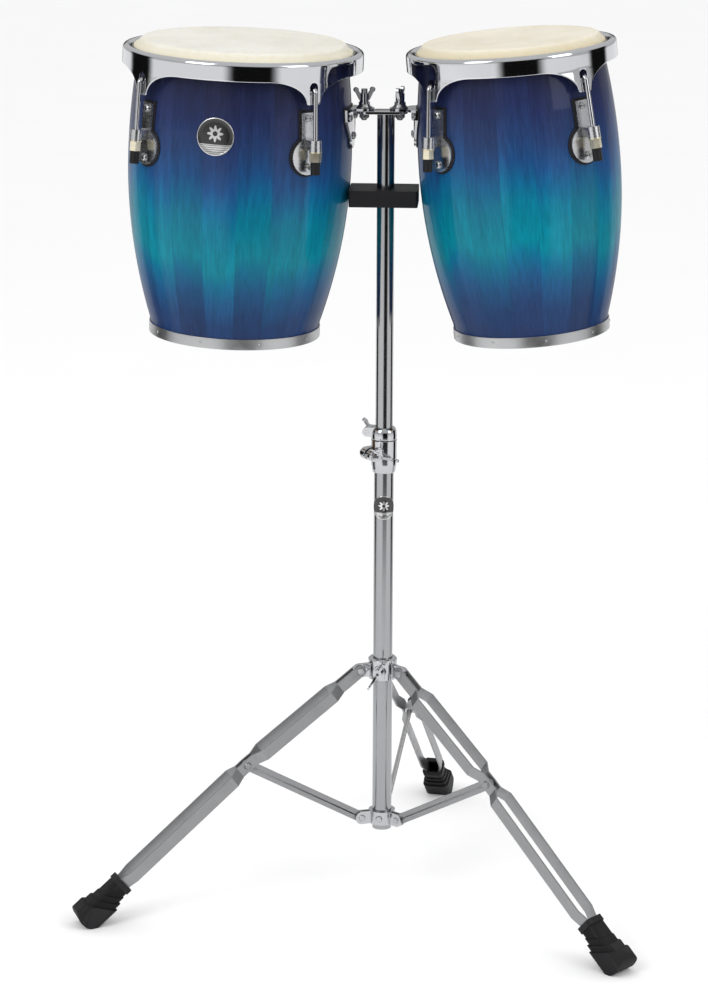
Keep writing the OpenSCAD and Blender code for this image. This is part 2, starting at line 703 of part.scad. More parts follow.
// straight flat brace between the leg's straps, eyed at both ends
module brace(k) color(chrome) brace_frame(k) difference() {
  extrude_y(brace_t) {
    translate([0, -eye_r]) square([brace_len, 2 * eye_r]);
    circle(r = eye_r);
    translate([brace_len, 0]) circle(r = eye_r);
  }
  rod_y(eye_bore_r, 40);
  translate([brace_len, 0, 0]) rod_y(3, 40);
}

// rear brace: threaded rod with an eye, for trimming the rear leg
module tilt_rod() color(darkchrome) brace_frame(rear_leg) {
  difference() {
    union() {
      rod_y(eye_r, brace_t);
      translate([0, -brace_t / 2, -4]) cube([20, brace_t, 8]);
      translate([13, 0, 0]) rod_x(2.9, 11);
    }
    rod_y(eye_bore_r, 40);
  }
  translate([22, 0, 0]) rod_x(3, brace_len + 2);
  // ridges standing for the thread
  for (x = [26:3:brace_len + 21])
    translate([x, 0, 0]) rotate([0, 90, 0]) cylinder(r1 = 3, r2 = 3.5, h = 1.4);
}

// cross block between the rear leg's straps that the rod passes through
module tilt_trunnion() color(darkchrome) brace_frame(rear_leg) difference() {
  translate([brace_len, 0, 0]) {
    rod_y(7, 13);
    rod_x(5, 11.5);
  }
  translate([brace_len - 20, 0, 0]) rod_x(3.56, 60);
}

// wing nut above the cross block, wings in the plane of the leg
module tilt_wing_nut() color(rubber) brace_frame(rear_leg)
  translate([brace_len + 11.6, 0, 0]) rotate([0, 90, 0])
    wing_nut(span = 26, rise = 10, hub_d = 9.4, hub_h = 9, bore_r = 3.56);

// sliding hub: ring, three tongues between the straps, threaded boss in front
module hub_collar() color(chrome) difference() {
  union() {
    translate([0, 0, hub_z - 12]) cylinder(r = 19, h = 26);
    translate([0, 0, hub_z + 14]) cylinder(r1 = 19, r2 = 16.5, h = 2.5);
    at_legs() extrude_y(hub_tongue_t) {
      translate([14, hub_z - 9]) square([hub_r - 14, 18]);
      translate([hub_r, hub_z]) circle(r = 9);
    }
    rotate([0, 0, front_dir]) translate([15, 0, hub_screw_z]) rod_x(8, 9);
  }
  translate([0, 0, hub_z - 20]) cylinder(d = lower_od + 0.16, h = 60);
  rotate([0, 0, front_dir]) translate([10, 0, hub_screw_z]) rod_x(4.05, 30);
  at_legs() translate([hub_r, 0, hub_z]) rod_y(3, 40);
}

// pin along Y with a tapered head at each end
module pin(radius, half_len, head_r, crown_r, head_h) {
  rod_y(radius, 2 * half_len);
  for (m = [0, 1]) mirror([0, m, 0]) translate([0, half_len, 0])
    rotate([-90, 0, 0]) cylinder(r1 = head_r, r2 = crown_r, h = head_h);
}

module hub_pins() color(darkchrome) at_legs() translate([hub_r, 0, hub_z])
  pin(radius = 2.99, half_len = hub_pin_half, head_r = 5.2, crown_r = 4, head_h = 2);

module hub_wing_bolt() color(chrome) rotate([0, 0, front_dir])
  translate([0, 0, hub_screw_z]) rotate([0, 90, 0]) {
    translate([0, 0, 12.9]) cylinder(r = 3.98, h = 13);
    translate([0, 0, 24.1]) rotate([0, 0, -31])
      wing_nut(span = 43, rise = 13, hub_d = 12, hub_h = 9, bore_r = 2);
  }

// fixed lower collar with three forks for the braces
module lower_collar() color(chrome) difference() {
  union() {
    translate([0, 0, collar_z - 9]) cylinder(r = 17.5, h = 18);
    at_legs() for (s = [-1, 1]) translate([0, s * cheek_y, 0]) extrude_y(cheek_t) {
      translate([12, collar_z - 8.5]) square([collar_r - 12, 17]);
      translate([collar_r, collar_z]) circle(r = 8.5);
    }
  }
  translate([0, 0, collar_z - 20]) cylinder(d = lower_od + 0.1, h = 40);
  at_legs() translate([collar_r, 0, collar_z]) {
    // the braces swing up between the cheeks, so the ring is relieved there
    rod_y(9, 3.6);
    rod_y(2.5, 40);
  }
  rotate([0, 0, front_dir]) translate([10, 0, collar_z]) rod_x(2.6, 20);
}

// brace pins, and the rivet in the front of the collar
module collar_pins() color(darkchrome) {
  at_legs() translate([collar_r, 0, collar_z])
    pin(radius = 2.48, half_len = 4.5, head_r = 4.6, crown_r = 3.4, head_h = 1.8);
  rotate([0, 0, front_dir]) translate([12.9, 0, collar_z]) rotate([0, 90, 0]) {
    cylinder(r = 2.5, h = 5);
    translate([0, 0, 4.6 + gap]) cylinder(r1 = 4.6, r2 = 3.4, h = 2.2);
  }
}

// rings of the boot:
// [depth, width across, underside edge, where its slanted slab starts, and ends]
boot_rings = [
  [27.5, foot_w - 7, 14, 5.2, 13.9],
  [32, foot_w - 3.5, 16.4, 13.6, 22.3],
  [37.5, foot_w, 18.8, 22, 70]];
pocket_half = 10.5;             // half width of the pocket for the strap ends

module slanted_slab(start, end) translate([13.5, 0, 8]) rotate([0, 33, 0])
  translate([-100, -50, start]) cube([200, 100, end - start]);

// frame of boot k: origin at the top of the cap, +Z down the leg, +X to the underside
module boot_frame(k) leg_frame(k) below_bend()
  translate([boot_x, 0, 0]) rotate([0, 90, 0]) children();

// cap, neck and rings, before trimming to the floor
module boot_body() {
  rounded_box(27, 29, 8, 6);
  intersection() {
    translate([0, 0, 7.5]) rounded_box(24.5, 26.5, 60, 6);
    slanted_slab(-60, 5.5);
  }
  for (ring = boot_rings) intersection() {
    translate([ring[2] - ring[0] / 2, 0, -10])
      rounded_box(ring[0], ring[1], 110, boot_corner);
    slanted_slab(ring[3], ring[4]);
  }
}

// rubber foot: ribbed boot over the strap ends, rounded at the toe, flat on the floor
module foot(k) color(rubber) difference() {
  intersection() {
    boot_frame(k) boot_body();
    rotate([0, 0, leg_dirs[k]]) extrude_y(120) {
      translate([boot_r + 40, 23.5]) circle(r = 25);
      translate([boot_r - 60, -1.5]) square([100, 26]);
      translate([boot_r - 60, 23.5]) square([60 + boot_reach, 61]);
    }
  }
  boot_frame(k) translate([-strap_h / 2 - gap, -pocket_half - gap, -10])
    cube([strap_h + 2 * gap, 2 * (pocket_half + gap), 37.4]);
  translate([-800, -800, -100]) cube([1600, 1600, 100]);
}

// ---------------------------------------------------------------- nodes
module part() translate(origin) children();
module left_part() part() hang(left_drum) children();
module right_part() part() hang(right_drum) children();

part() lower_tube();
part() tube_badge();
part() clamp_body();
part() clamp_bushing();
part() clamp_bolt();
part() clamp_wing_nut();
part() memory_lock();
part() memory_wing();
part() upper_tube();
part() t_plate();
part() t_bolts();
part() t_wing_nut(left_bolt, turn = 15);  // wing_nut_left
part() t_wing_nut(right_bolt, turn = 72);  // wing_nut_right
part() bumper_bar();
part() bumper_rubber();
part() hub_collar();
part() hub_pins();
part() hub_wing_bolt();
part() lower_collar();
part() collar_pins();
part() leg(rear_leg);  // leg_rear
part() leg(left_leg);  // leg_left
part() leg(right_leg);  // leg_right
part() brace(left_leg);  // brace_left
part() brace(right_leg);  // brace_right
part() tilt_rod();
part() tilt_trunnion();
part() tilt_wing_nut();
part() foot(rear_leg);  // foot_rear
part() foot(left_leg);  // foot_left
part() foot(right_leg);  // foot_right
left_part() shell(left_drum);  // shell_left
left_part() head(left_drum);  // head_left
left_part() flesh_hoop(left_drum);  // flesh_hoop_left
left_part() rim(left_drum);  // rim_left
left_part() lugs(left_drum);  // lugs_left
left_part() gaskets(left_drum);  // gaskets_left
left_part() screws(left_drum);  // screws_left
left_part() hooks(left_drum);  // hooks_left
left_part() tension_nut(left_drum, 0);  // nut_left_1
left_part() tension_nut(left_drum, 1);  // nut_left_2
left_part() tension_nut(left_drum, 2);  // nut_left_3
left_part() tension_nut(left_drum, 3);  // nut_left_4
left_part() band(left_drum);  // band_left
part() bracket(left_drum);  // bracket_left
left_part() badge(left_drum);  // badge_left
right_part() shell(right_drum);  // shell_right
right_part() head(right_drum);  // head_right
right_part() flesh_hoop(right_drum);  // flesh_hoop_right
right_part() rim(right_drum);  // rim_right
right_part() lugs(right_drum);  // lugs_right
right_part() gaskets(right_drum);  // gaskets_right
right_part() screws(right_drum);  // screws_right
right_part() hooks(right_drum);  // hooks_right
right_part() tension_nut(right_drum, 0);  // nut_right_1
right_part() tension_nut(right_drum, 1);  // nut_right_2
right_part() tension_nut(right_drum, 2);  // nut_right_3
right_part() tension_nut(right_drum, 3);  // nut_right_4
right_part() band(right_drum);  // band_right
part() bracket(right_drum);  // bracket_right
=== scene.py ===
"""Two tapered stave drums hung side by side from a post on a tripod stand.

The scene is in metres, +Z up, floor at z = 0, seen from -Y; the left drum is at -X.
Outlines are in millimetres. A drum's own frame has its origin at the middle of the head,
+Z up the drum's axis and +X towards the post.
"""
import json
import math
from types import SimpleNamespace
import bmesh
import bpy
from mathutils import Matrix, Vector

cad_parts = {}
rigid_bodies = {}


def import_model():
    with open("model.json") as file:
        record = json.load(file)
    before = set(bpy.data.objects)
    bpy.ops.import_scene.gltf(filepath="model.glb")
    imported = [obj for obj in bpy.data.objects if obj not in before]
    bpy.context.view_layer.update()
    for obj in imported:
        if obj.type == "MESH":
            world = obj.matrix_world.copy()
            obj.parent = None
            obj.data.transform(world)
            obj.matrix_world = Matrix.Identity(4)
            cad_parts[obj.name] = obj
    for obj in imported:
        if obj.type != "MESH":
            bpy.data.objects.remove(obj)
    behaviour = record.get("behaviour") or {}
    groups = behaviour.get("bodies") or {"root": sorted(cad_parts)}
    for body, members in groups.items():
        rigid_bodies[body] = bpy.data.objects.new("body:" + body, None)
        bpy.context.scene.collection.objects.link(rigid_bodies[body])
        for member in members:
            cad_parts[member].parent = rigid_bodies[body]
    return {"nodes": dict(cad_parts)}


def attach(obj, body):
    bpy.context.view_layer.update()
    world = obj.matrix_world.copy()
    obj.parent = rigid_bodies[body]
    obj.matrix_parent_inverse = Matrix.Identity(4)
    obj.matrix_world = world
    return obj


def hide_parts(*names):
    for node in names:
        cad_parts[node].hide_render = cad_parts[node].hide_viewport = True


for start_object in list(bpy.data.objects):
    bpy.data.objects.remove(start_object, do_unlink=True)
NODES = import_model()["nodes"]
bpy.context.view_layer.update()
SCENE = bpy.context.scene

MM = 0.001
POST = Vector((0.0425322, -0.0590912, 0.0))    # foot of the post's axis
PLATE_Z = 1049.0                               # height the drums hang from
DRUM_HEIGHT = 376.0
LUG_ANGLES = (45, 135, 225, 315)
FLARE_TOP = -34.0                              # below this the rim wall leans outwards

# head, belly, foot, rim: radii; belly_z: height of the widest place
# slant: lean of rim and hooks; turn: of the lugs round the drum; yaw, tilt: of the drum (degrees)
# bolt: sideways place of the mount; reach, rise: from the mount to the head
# staves, phase: number and start of the staves; shift, seed: of the lacquer's colours
# hide: sRGB of the head from dark to light, then where it turns over the edge, darker and
# yellower: the hide's own tone there with painted shade of the collar
DRUMS = (
    SimpleNamespace(
        side="left", head=130.7, belly=142.0, belly_z=-150.0, foot=108.6, rim=152.0,
        slant=3.0, turn=3.0, bolt=-27.4, yaw=-11.0, tilt=2.2, reach=154.8, rise=84.0,
        staves=20, phase=0.35, shift=0.0, seed=3.0,
        hide=((219, 215, 203), (228, 225, 215), (233, 230, 221), (208, 198, 158))),
    SimpleNamespace(
        side="right", head=112.0, belly=127.3, belly_z=-165.0, foot=98.4, rim=132.0,
        slant=7.0, turn=-5.0, bolt=17.5, yaw=178.3, tilt=5.1, reach=137.0, rise=92.4,
        staves=18, phase=0.10, shift=0.025, seed=11.0,
        hide=((218, 210, 190), (228, 221, 204), (233, 227, 212), (188, 170, 116))),
)


def linear(*srgb):
    """linear RGBA of an sRGB colour given as 0..255"""
    parts = [value / 255.0 for value in srgb]
    return tuple(part / 12.92 if part <= 0.04045 else ((part + 0.055) / 1.055) ** 2.4
                 for part in parts) + (1.0,)


# ------------------------------------------------------------------ node graphs
class Graph:
    """a cleared node tree, with one short call for each kind of node"""

    def __init__(self, tree):
        self.tree = tree
        tree.nodes.clear()

    def plug(self, socket, value):
        """link a socket to another, or set its value"""
        if isinstance(value, bpy.types.NodeSocket):
            self.tree.links.new(value, socket)
        else:
            socket.default_value = value

    def node(self, kind, inputs=None, **settings):
        made = self.tree.nodes.new(kind)
        for key, value in settings.items():
            setattr(made, key, value)
        for key, value in (inputs or {}).items():
            self.plug(made.inputs[key], value)
        return made

    def math(self, operation, first, second=0.0, third=0.0, clamp=False):
        return self.node("ShaderNodeMath", {0: first, 1: second, 2: third},
                         operation=operation, use_clamp=clamp).outputs[0]

    def mul(self, first, second, clamp=False):
        return self.math("MULTIPLY", first, second, clamp=clamp)

    def scale_add(self, value, times, plus):
        return self.math("MULTIPLY_ADD", value, times, plus)

    def split(self, vector):
        return self.node("ShaderNodeSeparateXYZ", {0: vector}).outputs

    def ramp(self, value, stops, interpolation="LINEAR"):
        """stops are (position, grey or RGBA)"""
        made = self.node("ShaderNodeValToRGB", {0: value})
        made.color_ramp.interpolation = interpolation
        elements = made.color_ramp.elements
        while len(elements) < len(stops):
            elements.new(0.5)
        for i, (position, colour) in enumerate(stops):
            elements[i].position = position
            elements[i].color = colour if isinstance(colour, tuple) else (colour,) * 3 + (1.0,)
        return made.outputs[0]

    def rise(self, value, start, end):
        return self.ramp(value, [(start, 0.0), (end, 1.0)])

    def fall(self, value, start, end):
        return self.ramp(value, [(start, 1.0), (end, 0.0)])


class Mat(Graph):
    """a material with one principled shader"""

    def __init__(self, name):
        self.material = bpy.data.materials.new(name)
        self.material.use_nodes = True
        super().__init__(self.material.node_tree)
        output = self.node("ShaderNodeOutputMaterial")
        self.shader = self.node("ShaderNodeBsdfPrincipled")
        self.plug(output.inputs[0], self.shader.outputs[0])
        self.coords = self.node("ShaderNodeTexCoord").outputs

    def finish(self, **inputs):
        """fill the shader's inputs, with _ for a space in their names"""
        for key, value in inputs.items():
            self.plug(self.shader.inputs[key.replace("_", " ")], value)
        return self.material

    def spot(self, x=1.0, y=1.0, z=1.0):
        """object coordinates, scaled"""
        return self.node("ShaderNodeMapping",
                         {0: self.coords["Object"], "Scale": (x, y, z)}).outputs[0]

    def noise(self, spot, scale, detail=4.0, rough=0.6, distort=0.0):
        inputs = {"Vector": spot, "Scale": scale, "Detail": detail, "Roughness": rough,
                  "Distortion": distort}
        return self.node("ShaderNodeTexNoise", inputs).outputs["Fac"]

    def soft_noise(self, spot, scale):
        return self.noise(spot, scale, detail=2.0, rough=0.5)

    def random(self, value):
        return self.node("ShaderNodeTexWhiteNoise", {"W": value},
                         noise_dimensions="1D").outputs["Value"]

    def mix(self, amount, first, second):
        return self.node("ShaderNodeMix", {0: amount, 6: first, 7: second},
                         data_type="RGBA").outputs[2]

    def bump(self, height, strength, depth, under=None):
        inputs = {"Strength": strength, "Distance": depth, "Height": height}
        if under is not None:
            inputs["Normal"] = under
        return self.node("ShaderNodeBump", inputs).outputs[0]

    def combine(self, x, y, z):
        return self.node("ShaderNodeCombineXYZ", {0: x, 1: y, 2: z}).outputs[0]

    def around(self, angle, length, turn=1.0, along=1.0, layer=0.0):
        """place for noise that follows the angle round Z and a length"""
        return self.combine(self.mul(angle, turn), layer, self.mul(length, along))

    def distance(self, x, y):
        squares = self.math("ADD", self.mul(x, x), self.mul(y, y))
        return self.math("SQRT", squares)

    def surface(self):
        """pointiness of the surface, and how far it faces up"""
        geometry = self.node("ShaderNodeNewGeometry").outputs
        return geometry["Pointiness"], self.split(geometry["Normal"])[2]


# ------------------------------------------------------------------ metal, rubber, nylon
def metal(name, tint, smooth, rough, wave, wave_scale, dust_and_shade, lines=0.0):
    """plated or bare metal: uneven polish, faint ripple, settled dust, scuffed edges, painted
    shade in hollows
    """
    mat = Mat(name)
    red, green, blue = tint
    spot = mat.spot()
    cloud = mat.noise(spot, scale=38.0)
    smear = mat.noise(mat.spot(z=3.5), scale=90.0, detail=5.0, rough=0.65, distort=0.6)
    polish = mat.scale_add(mat.mul(cloud, smear), times=(rough - smooth) * 3.2, plus=smooth)
    pointiness, up = mat.surface()
    edge = mat.rise(pointiness, start=0.50, end=0.56)
    scuff = mat.mul(edge, mat.noise(spot, scale=420.0, detail=3.0))
    polish = mat.scale_add(scuff, times=0.12, plus=polish)
    specks = mat.noise(spot, scale=160.0, detail=5.0, rough=0.7)
    dust = mat.mul(mat.rise(up, start=0.45, end=0.95), mat.rise(specks, start=0.42, end=0.75))
    # concave places, found by low pointiness, go towards a dark copy of the tint: painted shade
    # in the hollows
    hollow_shade_mask = mat.fall(pointiness, start=0.40, end=0.485)
    hollow_shade_colour = (red * 0.30, green * 0.29, blue * 0.27, 1.0)
    dusty = (0.55, 0.53, 0.50, 1.0)
    cloudy = (red * 0.86, green * 0.87, blue * 0.90, 1.0)
    colour = mat.mix(mat.mul(hollow_shade_mask, dust_and_shade * 2.4, clamp=True), tint + (1.0,), hollow_shade_colour)
    colour = mat.mix(mat.mul(dust, dust_and_shade), colour, dusty)
    colour = mat.mix(mat.mul(mat.rise(cloud, start=0.35, end=0.7), 0.10), colour, cloudy)
    polish = mat.scale_add(dust, times=0.75 * dust_and_shade, plus=polish)
    normal = mat.bump(mat.soft_noise(spot, scale=wave_scale), strength=wave, depth=0.002)
    pitting = mat.soft_noise(spot, scale=520.0)
    normal = mat.bump(pitting, strength=0.02, depth=0.0004, under=normal)
    if lines:
        fine = mat.noise(mat.spot(z=30.0), scale=90.0)
        normal = mat.bump(fine, strength=lines, depth=0.0003, under=normal)
    return mat.finish(Base_Color=colour, Metallic=1.0, Roughness=polish, Normal=normal)


def rubber(name, grey, blue, rough, grain, grain_scale):
    """black rubber: fine grain, dust on top, worn edges"""
    mat = Mat(name)
    spot = mat.spot()
    pointiness, up = mat.surface()
    grit = mat.noise(spot, scale=grain_scale)
    cloud = mat.noise(spot, scale=45.0)
    dust = mat.mul(mat.rise(up, start=0.2, end=0.95), mat.ramp(cloud, [(0.35, 0.1), (0.7, 1.0)]))
    edge = mat.rise(pointiness, start=0.505, end=0.57)
    dusty = (0.16, 0.155, 0.15, 1.0)
    worn = (0.050, 0.050, 0.052, 1.0)
    colour = mat.mix(mat.mul(dust, 0.07), (grey, grey, blue, 1.0), dusty)
    colour = mat.mix(mat.mul(edge, 0.30), colour, worn)
    return mat.finish(
        Base_Color=colour, Roughness=mat.scale_add(cloud, times=0.22, plus=rough - 0.1),
        Normal=mat.bump(grit, strength=grain, depth=0.0004), Specular_IOR_Level=0.14)


def nylon():
    mat = Mat("nylon")
    cloud = mat.noise(mat.spot(), scale=300.0)
    return mat.finish(
        Base_Color=mat.mix(cloud, linear(104, 78, 52), linear(140, 108, 76)),
        Roughness=mat.scale_add(cloud, times=0.2, plus=0.35),
        Normal=mat.bump(cloud, strength=0.15, depth=0.0004),
        Subsurface_Weight=0.1, Subsurface_Radius=(0.002, 0.0012, 0.0006))


# name, tint, least and most roughness, ripple strength and scale, dust amount and painted shade
# in hollows, fine line strength
METALS = (
    ("chrome", (0.52, 0.525, 0.54), 0.04, 0.09, 0.05, 16.0, 0.10),
    ("rim_chrome", (0.66, 0.67, 0.69), 0.03, 0.07, 0.035, 12.0, 0.08),
    # the tubes' chrome has a darker tint than the other chrome: painted shade standing for the
    # darker reflections along the tubes
    ("tube_chrome", (0.36, 0.365, 0.375), 0.05, 0.12, 0.045, 9.0, 0.08),
    ("lug_chrome", (0.60, 0.605, 0.618), 0.15, 0.25, 0.05, 16.0, 0.10),
    ("leg_chrome", (0.335, 0.338, 0.345), 0.26, 0.42, 0.09, 22.0, 0.13),
    ("zinc_steel", (0.50, 0.505, 0.51), 0.16, 0.30, 0.08, 40.0, 0.18),
    ("plain_steel", (0.40, 0.40, 0.41), 0.25, 0.42, 0.08, 40.0, 0.18),
    ("satin_band", (0.46, 0.465, 0.47), 0.22, 0.34, 0.06, 10.0, 0.10, 0.10),
    ("black_zinc", (0.10, 0.10, 0.105), 0.25, 0.42, 0.08, 40.0, 0.15),
    ("nickel_brass_nut", (0.84, 0.78, 0.60), 0.20, 0.36, 0.06, 60.0, 0.16),
)
# name, red and green, blue, roughness, grain strength and scale
RUBBERS = (
    ("gasket_rubber", 0.010, 0.012, 0.45, 0.12, 700.0),
    ("foot_rubber", 0.008, 0.009, 0.58, 0.35, 520.0),
    ("bumper_rubber", 0.007, 0.008, 0.50, 0.30, 640.0),
    ("cap_rubber", 0.008, 0.009, 0.38, 0.10, 700.0),
)
MATERIALS = {row[0]: metal(*row) for row in METALS}
MATERIALS.update({row[0]: rubber(*row) for row in RUBBERS})
MATERIALS["nylon"] = nylon()


# ------------------------------------------------------------------ wood, hide, badges
# lacquer colours down the drum: position, sRGB
BURST = (
    (0.0, (30, 31, 56)), (0.12, (32, 36, 64)), (0.23, (34, 44, 82)), (0.33, (33, 56, 98)),
    (0.41, (26, 70, 118)), (0.475, (12, 90, 130)), (0.54, (4, 106, 132)),
    (0.61, (1, 114, 134)), (0.68, (1, 118, 136)), (0.735, (6, 98, 130)),
    (0.80, (22, 76, 118)), (0.88, (26, 56, 98)), (1.0, (28, 46, 86)),
)
BURST_GAIN = 1.16
BURST_LENGTH = 0.38      # metres of drum the colours cover


def lacquer(drum):
    """glossy colour burst over staves that each differ a little"""
    mat = Mat("burst_lacquer_" + drum.side)
    x, y, z = mat.split(mat.coords["Object"])
    angle = mat.math("ARCTAN2", y, x)
    across = mat.scale_add(angle, times=drum.staves / (2 * math.pi),
                           plus=drum.staves + drum.phase)
    # the last and first numbers are the same stave
    stave = mat.math("MODULO", mat.math("FLOOR", across), float(drum.staves))
    part = mat.math("FRACT", across)
    drift_by_stave = mat.random(mat.math("ADD", stave, drum.seed))
    shade_by_stave = mat.random(mat.math("ADD", stave, drum.seed + 31.7))

    # grain runs along the staves: sampled round the drum finely, along it slowly
    grain_spot = mat.combine(
        mat.scale_add(angle, times=1.0, plus=mat.mul(drift_by_stave, 5.0)),
        shade_by_stave, mat.mul(z, 0.9))
    grain = mat.noise(grain_spot, scale=46.0, detail=6.0, rough=0.62, distort=0.35)
    figure = mat.noise(grain_spot, scale=11.0, rough=0.55, distort=0.8)
    fleck = mat.noise(mat.around(angle, z, along=1.6, layer=shade_by_stave),
                      scale=150.0, detail=3.0)

    # the edge between colours wanders a little and drifts per stave
    drift = mat.noise(mat.around(angle, z, turn=0.35), scale=3.2, detail=3.0, rough=0.55)
    down = mat.scale_add(z, times=-1.0 / BURST_LENGTH, plus=drum.shift)
    for wander, amount in ((drift_by_stave, 0.060), (drift, 0.10), (figure, 0.07)):
        down = mat.math("ADD", down, mat.scale_add(wander, times=amount, plus=-amount / 2))
    colour = mat.ramp(down, [
        (position, tuple(value * BURST_GAIN for value in linear(*srgb)[:3]) + (1.0,))
        for position, srgb in BURST])

    seam = mat.math("SUBTRACT", 0.5, mat.math("ABSOLUTE", mat.math("SUBTRACT", part, 0.5)))
    line = mat.fall(seam, start=0.0, end=0.012)
    pore = mat.rise(fleck, start=0.63, end=0.74)
    shade = mat.scale_add(shade_by_stave, times=0.34, plus=0.80)
    # brightness is multiplied by each layer * times + plus
    for layer, times, plus in ((figure, 0.55, 0.66), (grain, 0.80, 0.58),
                               (line, -0.22, 1.0), (pore, -0.20, 1.0)):
        shade = mat.mul(shade, mat.scale_add(layer, times, plus))
    shaded = mat.node("ShaderNodeVectorMath", {0: colour, "Scale": shade}, operation="SCALE")

    swell = mat.scale_add(mat.soft_noise(mat.spot(), scale=5.0), times=1.0, plus=0.0)
    coat = mat.bump(swell, strength=0.06, depth=0.004)
    coat = mat.bump(line, strength=0.10, depth=0.0004, under=coat)
    peel = mat.soft_noise(mat.spot(z=0.6), scale=210.0)
    coat = mat.bump(peel, strength=0.015, depth=0.0004, under=coat)
    scuff = mat.rise(mat.noise(mat.spot(), scale=70.0, detail=6.0, rough=0.7),
                     start=0.45, end=0.8)
    return mat.finish(
        Base_Color=shaded.outputs[0], Roughness=0.42, Specular_IOR_Level=0.05,
        Coat_Weight=0.24, Coat_Roughness=mat.scale_add(scuff, times=0.05, plus=0.025),
        Coat_IOR=1.5, Coat_Normal=coat, Normal=mat.bump(grain, strength=0.06, depth=0.0003))


def raw_wood():
    mat = Mat("raw_stave_wood")
    x, y, z = mat.split(mat.coords["Object"])
    angle = mat.math("ARCTAN2", y, x)
    grain = mat.noise(mat.around(angle, z, along=0.8), scale=40.0, detail=6.0, distort=0.5)
    colour = mat.ramp(grain, [(0.3, linear(118, 84, 52)), (0.55, linear(168, 128, 84)),
                              (0.75, linear(196, 158, 110))])
    return mat.finish(Base_Color=colour, Roughness=0.62,
                      Normal=mat.bump(grain, strength=0.25, depth=0.0006))


MATERIALS["raw_wood"] = raw_wood()


def hide(drum):
    """natural hide: mottled, fibrous, darker and yellower where it turns over the edge: the
    hide's own tone there with painted shade
    """
    mat = Mat("hide_" + drum.side)
    dark, middle, light, turned_tone_and_shade = [linear(*srgb) for srgb in drum.hide]
    x, y, _ = mat.split(mat.coords["Object"])
    radius = mat.distance(x, y)
    spot = mat.spot()
    blotch = mat.noise(spot, scale=9.0, detail=5.0, distort=0.8)
    vein = mat.noise(mat.spot(y=0.35), scale=70.0, detail=6.0, rough=0.65, distort=1.4)
    fine = mat.noise(spot, scale=620.0)
    colour = mat.ramp(blotch, [(0.30, dark), (0.55, middle), (0.75, light)])
    colour = mat.mix(mat.mul(mat.rise(vein, start=0.52, end=0.75), 0.22),
                     colour, linear(196, 184, 152))
    cells = mat.node("ShaderNodeTexVoronoi", {"Vector": spot, "Scale": 130.0})
    speck = mat.fall(cells.outputs["Distance"], start=0.05, end=0.16)
    speck = mat.mul(speck, mat.rise(mat.soft_noise(spot, scale=14.0), start=0.5, end=0.62))
    colour = mat.mix(mat.mul(speck, 0.28), colour, linear(170, 150, 112))
    # where the hide turns over the edge it goes darker and yellower: painted shade of the collar
    # with the hide's own yellower tone there
    turn = mat.ramp(mat.math("DIVIDE", radius, drum.head * MM * 1.12),
                    [(0.865, 0.0), (0.905, 0.55), (0.99, 1.0)])
    colour = mat.mix(mat.mul(turn, 0.62), colour, turned_tone_and_shade)
    angle = mat.math("ARCTAN2", y, x)
    wrinkle = mat.noise(mat.around(angle, radius, along=1.2), scale=34.0)
    normal = mat.bump(vein, strength=0.10, depth=0.0008)
    normal = mat.bump(fine, strength=0.10, depth=0.0003, under=normal)
    normal = mat.bump(mat.mul(wrinkle, turn), strength=0.35, depth=0.0016, under=normal)
    return mat.finish(
        Base_Color=colour, Roughness=mat.scale_add(blotch, times=0.2, plus=0.42),
        Normal=normal, Subsurface_Weight=0.18, Specular_IOR_Level=0.35,
        Subsurface_Radius=(0.004, 0.003, 0.0015), Subsurface_Scale=1.0)


def badge_enamel(name, radius, flat=False):
    """black enamel disc in a bright ring, an eight-lobed rosette over a ruled bright foot"""
    mat = Mat(name)
    x, y, _ = mat.split(mat.coords["UV" if flat else "Object"])
    if flat:
        x = mat.scale_add(x, times=2 * radius, plus=-radius)
        y = mat.scale_add(y, times=2 * radius, plus=-radius)

    def relative(length):
        return mat.math("DIVIDE", length, radius)

    ring = mat.ramp(relative(mat.distance(x, y)),
                    [(0.0, 0.0), (0.945, 0.0), (0.955, 1.0), (1.0, 1.0)])
    foot = mat.ramp(mat.scale_add(relative(y), times=-0.5, plus=0.5),
                    [(0.0, 0.0), (0.700, 0.0), (0.708, 1.0)])
    # nine rules to a radius, each over the last 28 % of its pitch
    rule = mat.math("GREATER_THAN", mat.math("FRACT", mat.mul(relative(y), 9.0)), 0.72)
    foot = mat.mul(foot, mat.math("SUBTRACT", 1.0, mat.mul(rule, 0.85)))
    # the rosette is centred above the middle
    raised_y = mat.math("SUBTRACT", y, 0.16 * radius)
    from_rosette = relative(mat.distance(x, raised_y))
    angle = mat.math("ARCTAN2", raised_y, x)
    lobe = mat.scale_add(mat.math("COSINE", mat.mul(angle, 8.0)), times=0.10, plus=0.34)
    rosette = mat.math("LESS_THAN", from_rosette, lobe)
    hole = mat.math("LESS_THAN", from_rosette, 0.13)
    rosette = mat.math("SUBTRACT", rosette, hole, clamp=True)
    bright = mat.math("MAXIMUM", mat.math("MAXIMUM", ring, foot), rosette)
    cloud = mat.noise(mat.spot(), scale=400.0, detail=3.0)
    black = (0.006, 0.006, 0.007, 1.0)
    silver = (0.70, 0.70, 0.70, 1.0)
    return mat.finish(
        Base_Color=mat.mix(bright, black, silver), Metallic=bright,
        Roughness=mat.scale_add(cloud, times=0.12, plus=0.10),
        Normal=mat.bump(bright, strength=0.3, depth=0.0004),
        Coat_Weight=0.6, Coat_Roughness=0.05)


# ------------------------------------------------------------------ mesh helpers
def link(name, data):
    made = bpy.data.objects.new(name, data)
    SCENE.collection.objects.link(made)
    return made


def add(name, mesh, materials, body, node, place):
    made = link(name, mesh)
    for material in materials:
        mesh.materials.append(material)
    made.matrix_world = place
    bpy.context.view_layer.update()
    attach(made, body)
    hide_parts(node)


